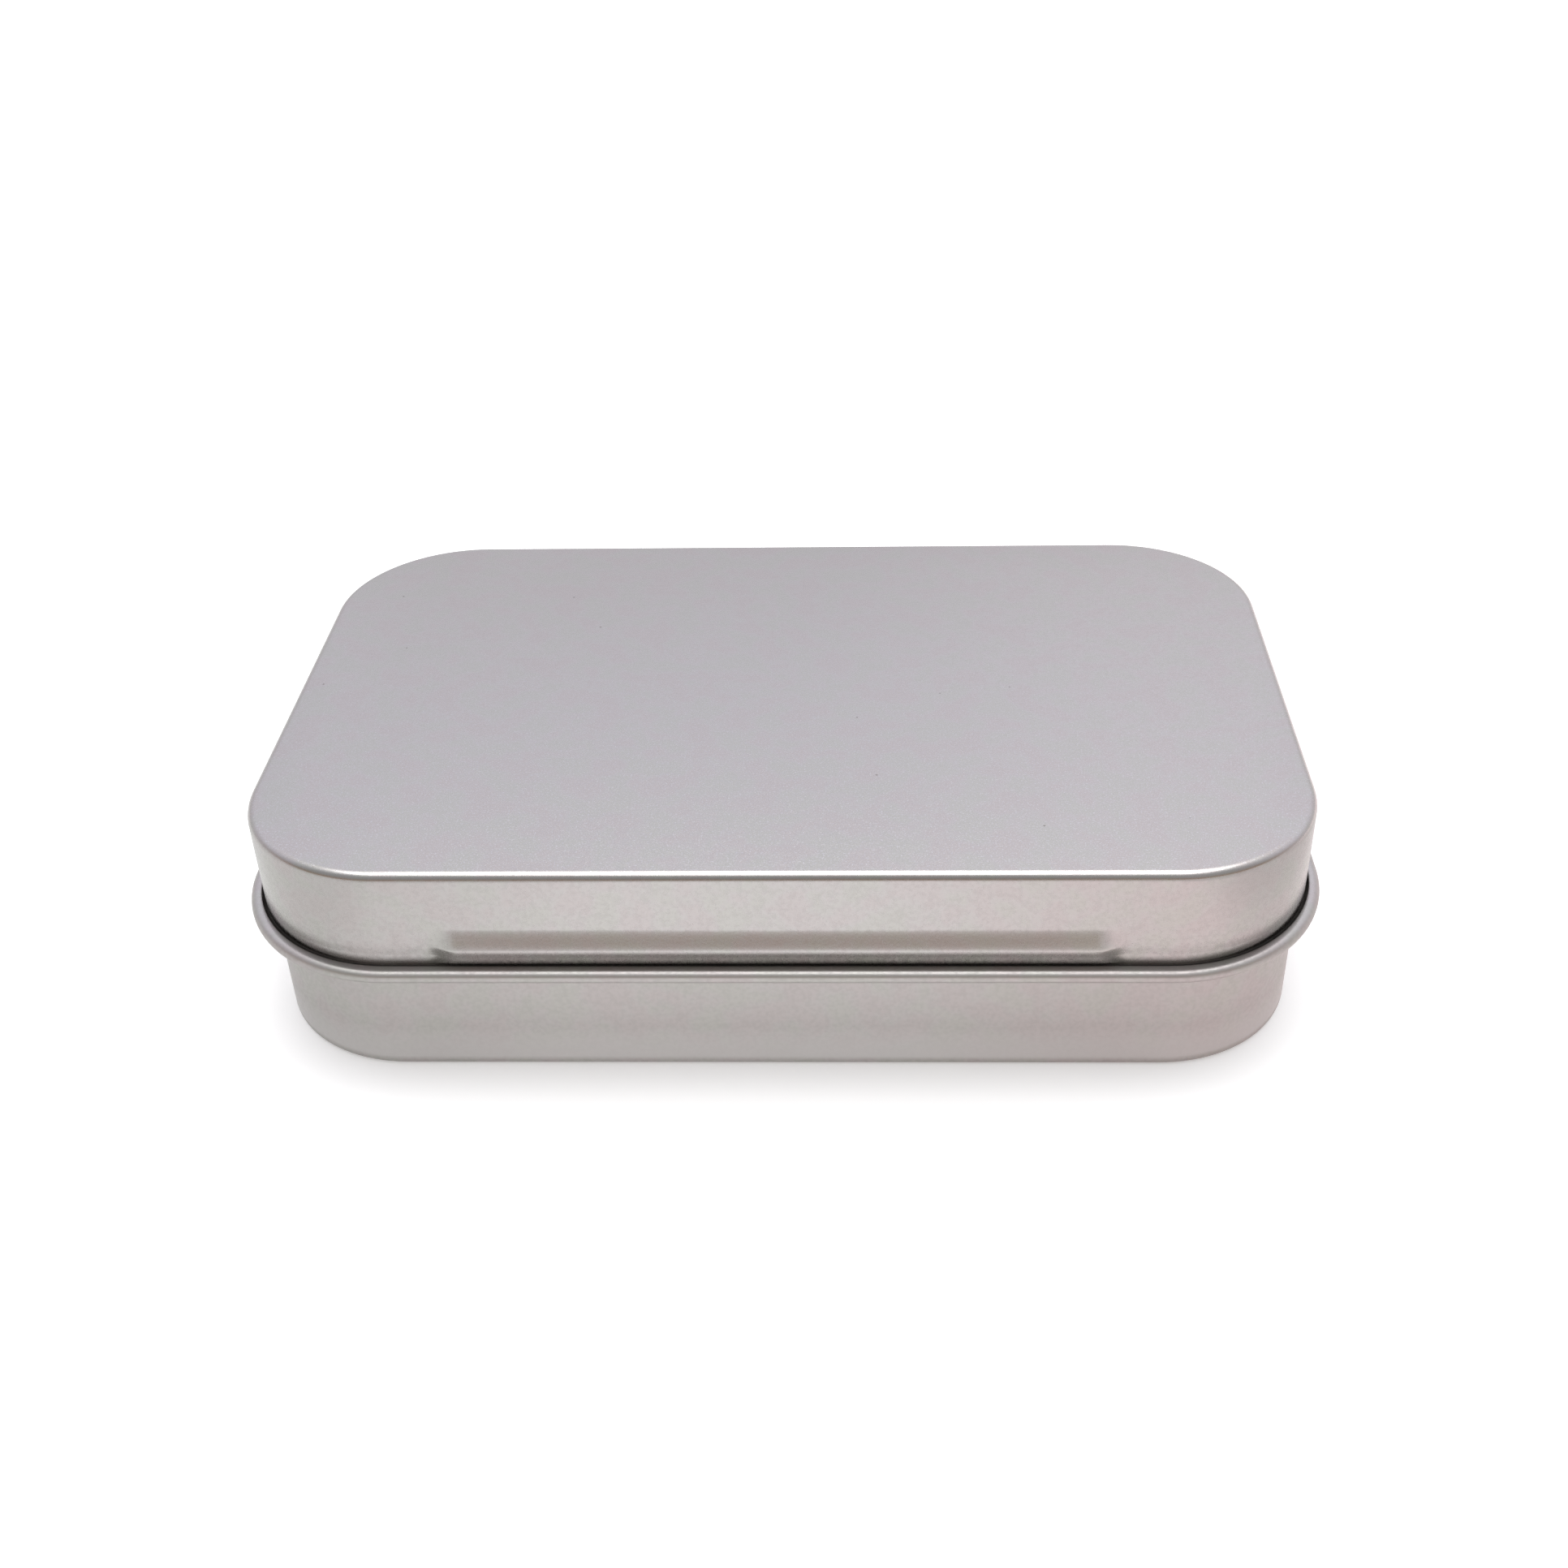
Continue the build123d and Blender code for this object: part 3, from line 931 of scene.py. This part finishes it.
# %% Colours of the room
back_stops = (
    (0, (0.60, 0.595, 0.62)),
    (20, (0.67, 0.665, 0.71)),
    (27, (0.765, 0.77, 0.845)),
    (36, (0.81, 0.82, 0.92)),
    (50, (0.81, 0.815, 0.85)),
    (90, (0.80, 0.80, 0.80)),
)
front_stops = (
    (0, (0.67, 0.655, 0.645)),
    (5, (0.62, 0.58, 0.55)),
    (8, (0.30, 0.21, 0.145)),
    (15, (0.26, 0.18, 0.125)),
    (25, (0.31, 0.30, 0.29)),
    (50, (0.325, 0.325, 0.325)),
    (62, (0.48, 0.48, 0.48)),
    (72, (0.77, 0.77, 0.77)),
    (90, (0.80, 0.80, 0.80)),
)


def ramp(tree, source, stops):
    """A colour ramp whose stops are given by height angle in degrees."""
    node = tree.nodes.new("ShaderNodeValToRGB")
    elements = node.color_ramp.elements
    while len(elements) < len(stops):
        elements.new(0.5)
    for element, (angle, color) in zip(elements, stops):
        element.position = math.sin(math.radians(angle))
        element.color = (*color, 1)
    tree.links.new(source, node.inputs[0])
    return node.outputs["Color"]


world = bpy.data.worlds.new("room")
bpy.context.scene.world = world
world.use_nodes = True
tree = world.node_tree
tree.nodes.clear()
side, depth, rise = split(tree, tree.nodes.new("ShaderNodeTexCoord").outputs["Generated"])
back, front = ramp(tree, rise, back_stops), ramp(tree, rise, front_stops)
print("colours in the ramps:", len(back_stops), len(front_stops))

# %% [markdown]
# The two ramps are blended from front to back, and two weak layers are added: the front gets
# brighter to either side, and the whole room brighter to the right. A photograph of a room
# could stand in for all of this, but nothing in it could be set by hand.
# The camera itself sees white, so the background is as plain as in the photograph.

# %% Room
depth_span = (-0.35, 0.35)
side_tone, side_span = (1.16, 1.20, 1.24), (0.04, 0.22)
bright_right, bright_right_span = (1.11, 1.10, 1.09), (0.0, 0.16)
room_level = 1.3

off_middle = remap(tree, calculate(tree, "ABSOLUTE", side), side_span)
front = mix_colors(tree, off_middle, front, side_tone, "MULTIPLY")
tone = mix_colors(tree, remap(tree, depth, depth_span), front, back)
tone = mix_colors(tree, remap(tree, side, bright_right_span), tone, bright_right, "MULTIPLY")
walls = add_node(tree, "ShaderNodeBackground", Strength=room_level)
tree.links.new(tone, walls.inputs["Color"])
white = add_node(tree, "ShaderNodeBackground", Color=(1, 1, 1, 1))
room = tree.nodes.new("ShaderNodeMixShader")
tree.links.new(tree.nodes.new("ShaderNodeLightPath").outputs["Is Camera Ray"], room.inputs[0])
tree.links.new(walls.outputs[0], room.inputs[1])
tree.links.new(white.outputs[0], room.inputs[2])
output = tree.nodes.new("ShaderNodeOutputWorld")
tree.links.new(room.outputs[0], output.inputs[0])
print("the room has", len(tree.nodes), "nodes")

# %% [markdown]
# One large soft lamp hangs above the tin and a little behind it. It gives the tin its pale
# shadow on the paper. A small lamp would draw a hard one, which the photograph doesn't show.

# %% Lamp
lamp_place = Vector((0.0, 0.06, 0.60))
lamp_size = 0.60
lamp_power = 2.4

bpy.ops.object.light_add(type="AREA", location=lamp_place)
lamp = bpy.context.object
lamp.data.shape = "DISK"
lamp.data.size = lamp_size
lamp.data.energy = lamp_power
lamp.rotation_euler = (-lamp_place).to_track_quat("-Z", "Y").to_euler()
print("lamp above the tin, mm:", round(lamp_place.z / mm))

# %% [markdown]
# Last, the plain view of colours, so that a colour comes out about as it is written.
# Others will build with the size of the packed tin, so the dressed one has to keep to it.

# %% Render settings
bpy.context.scene.view_settings.view_transform = "Standard"
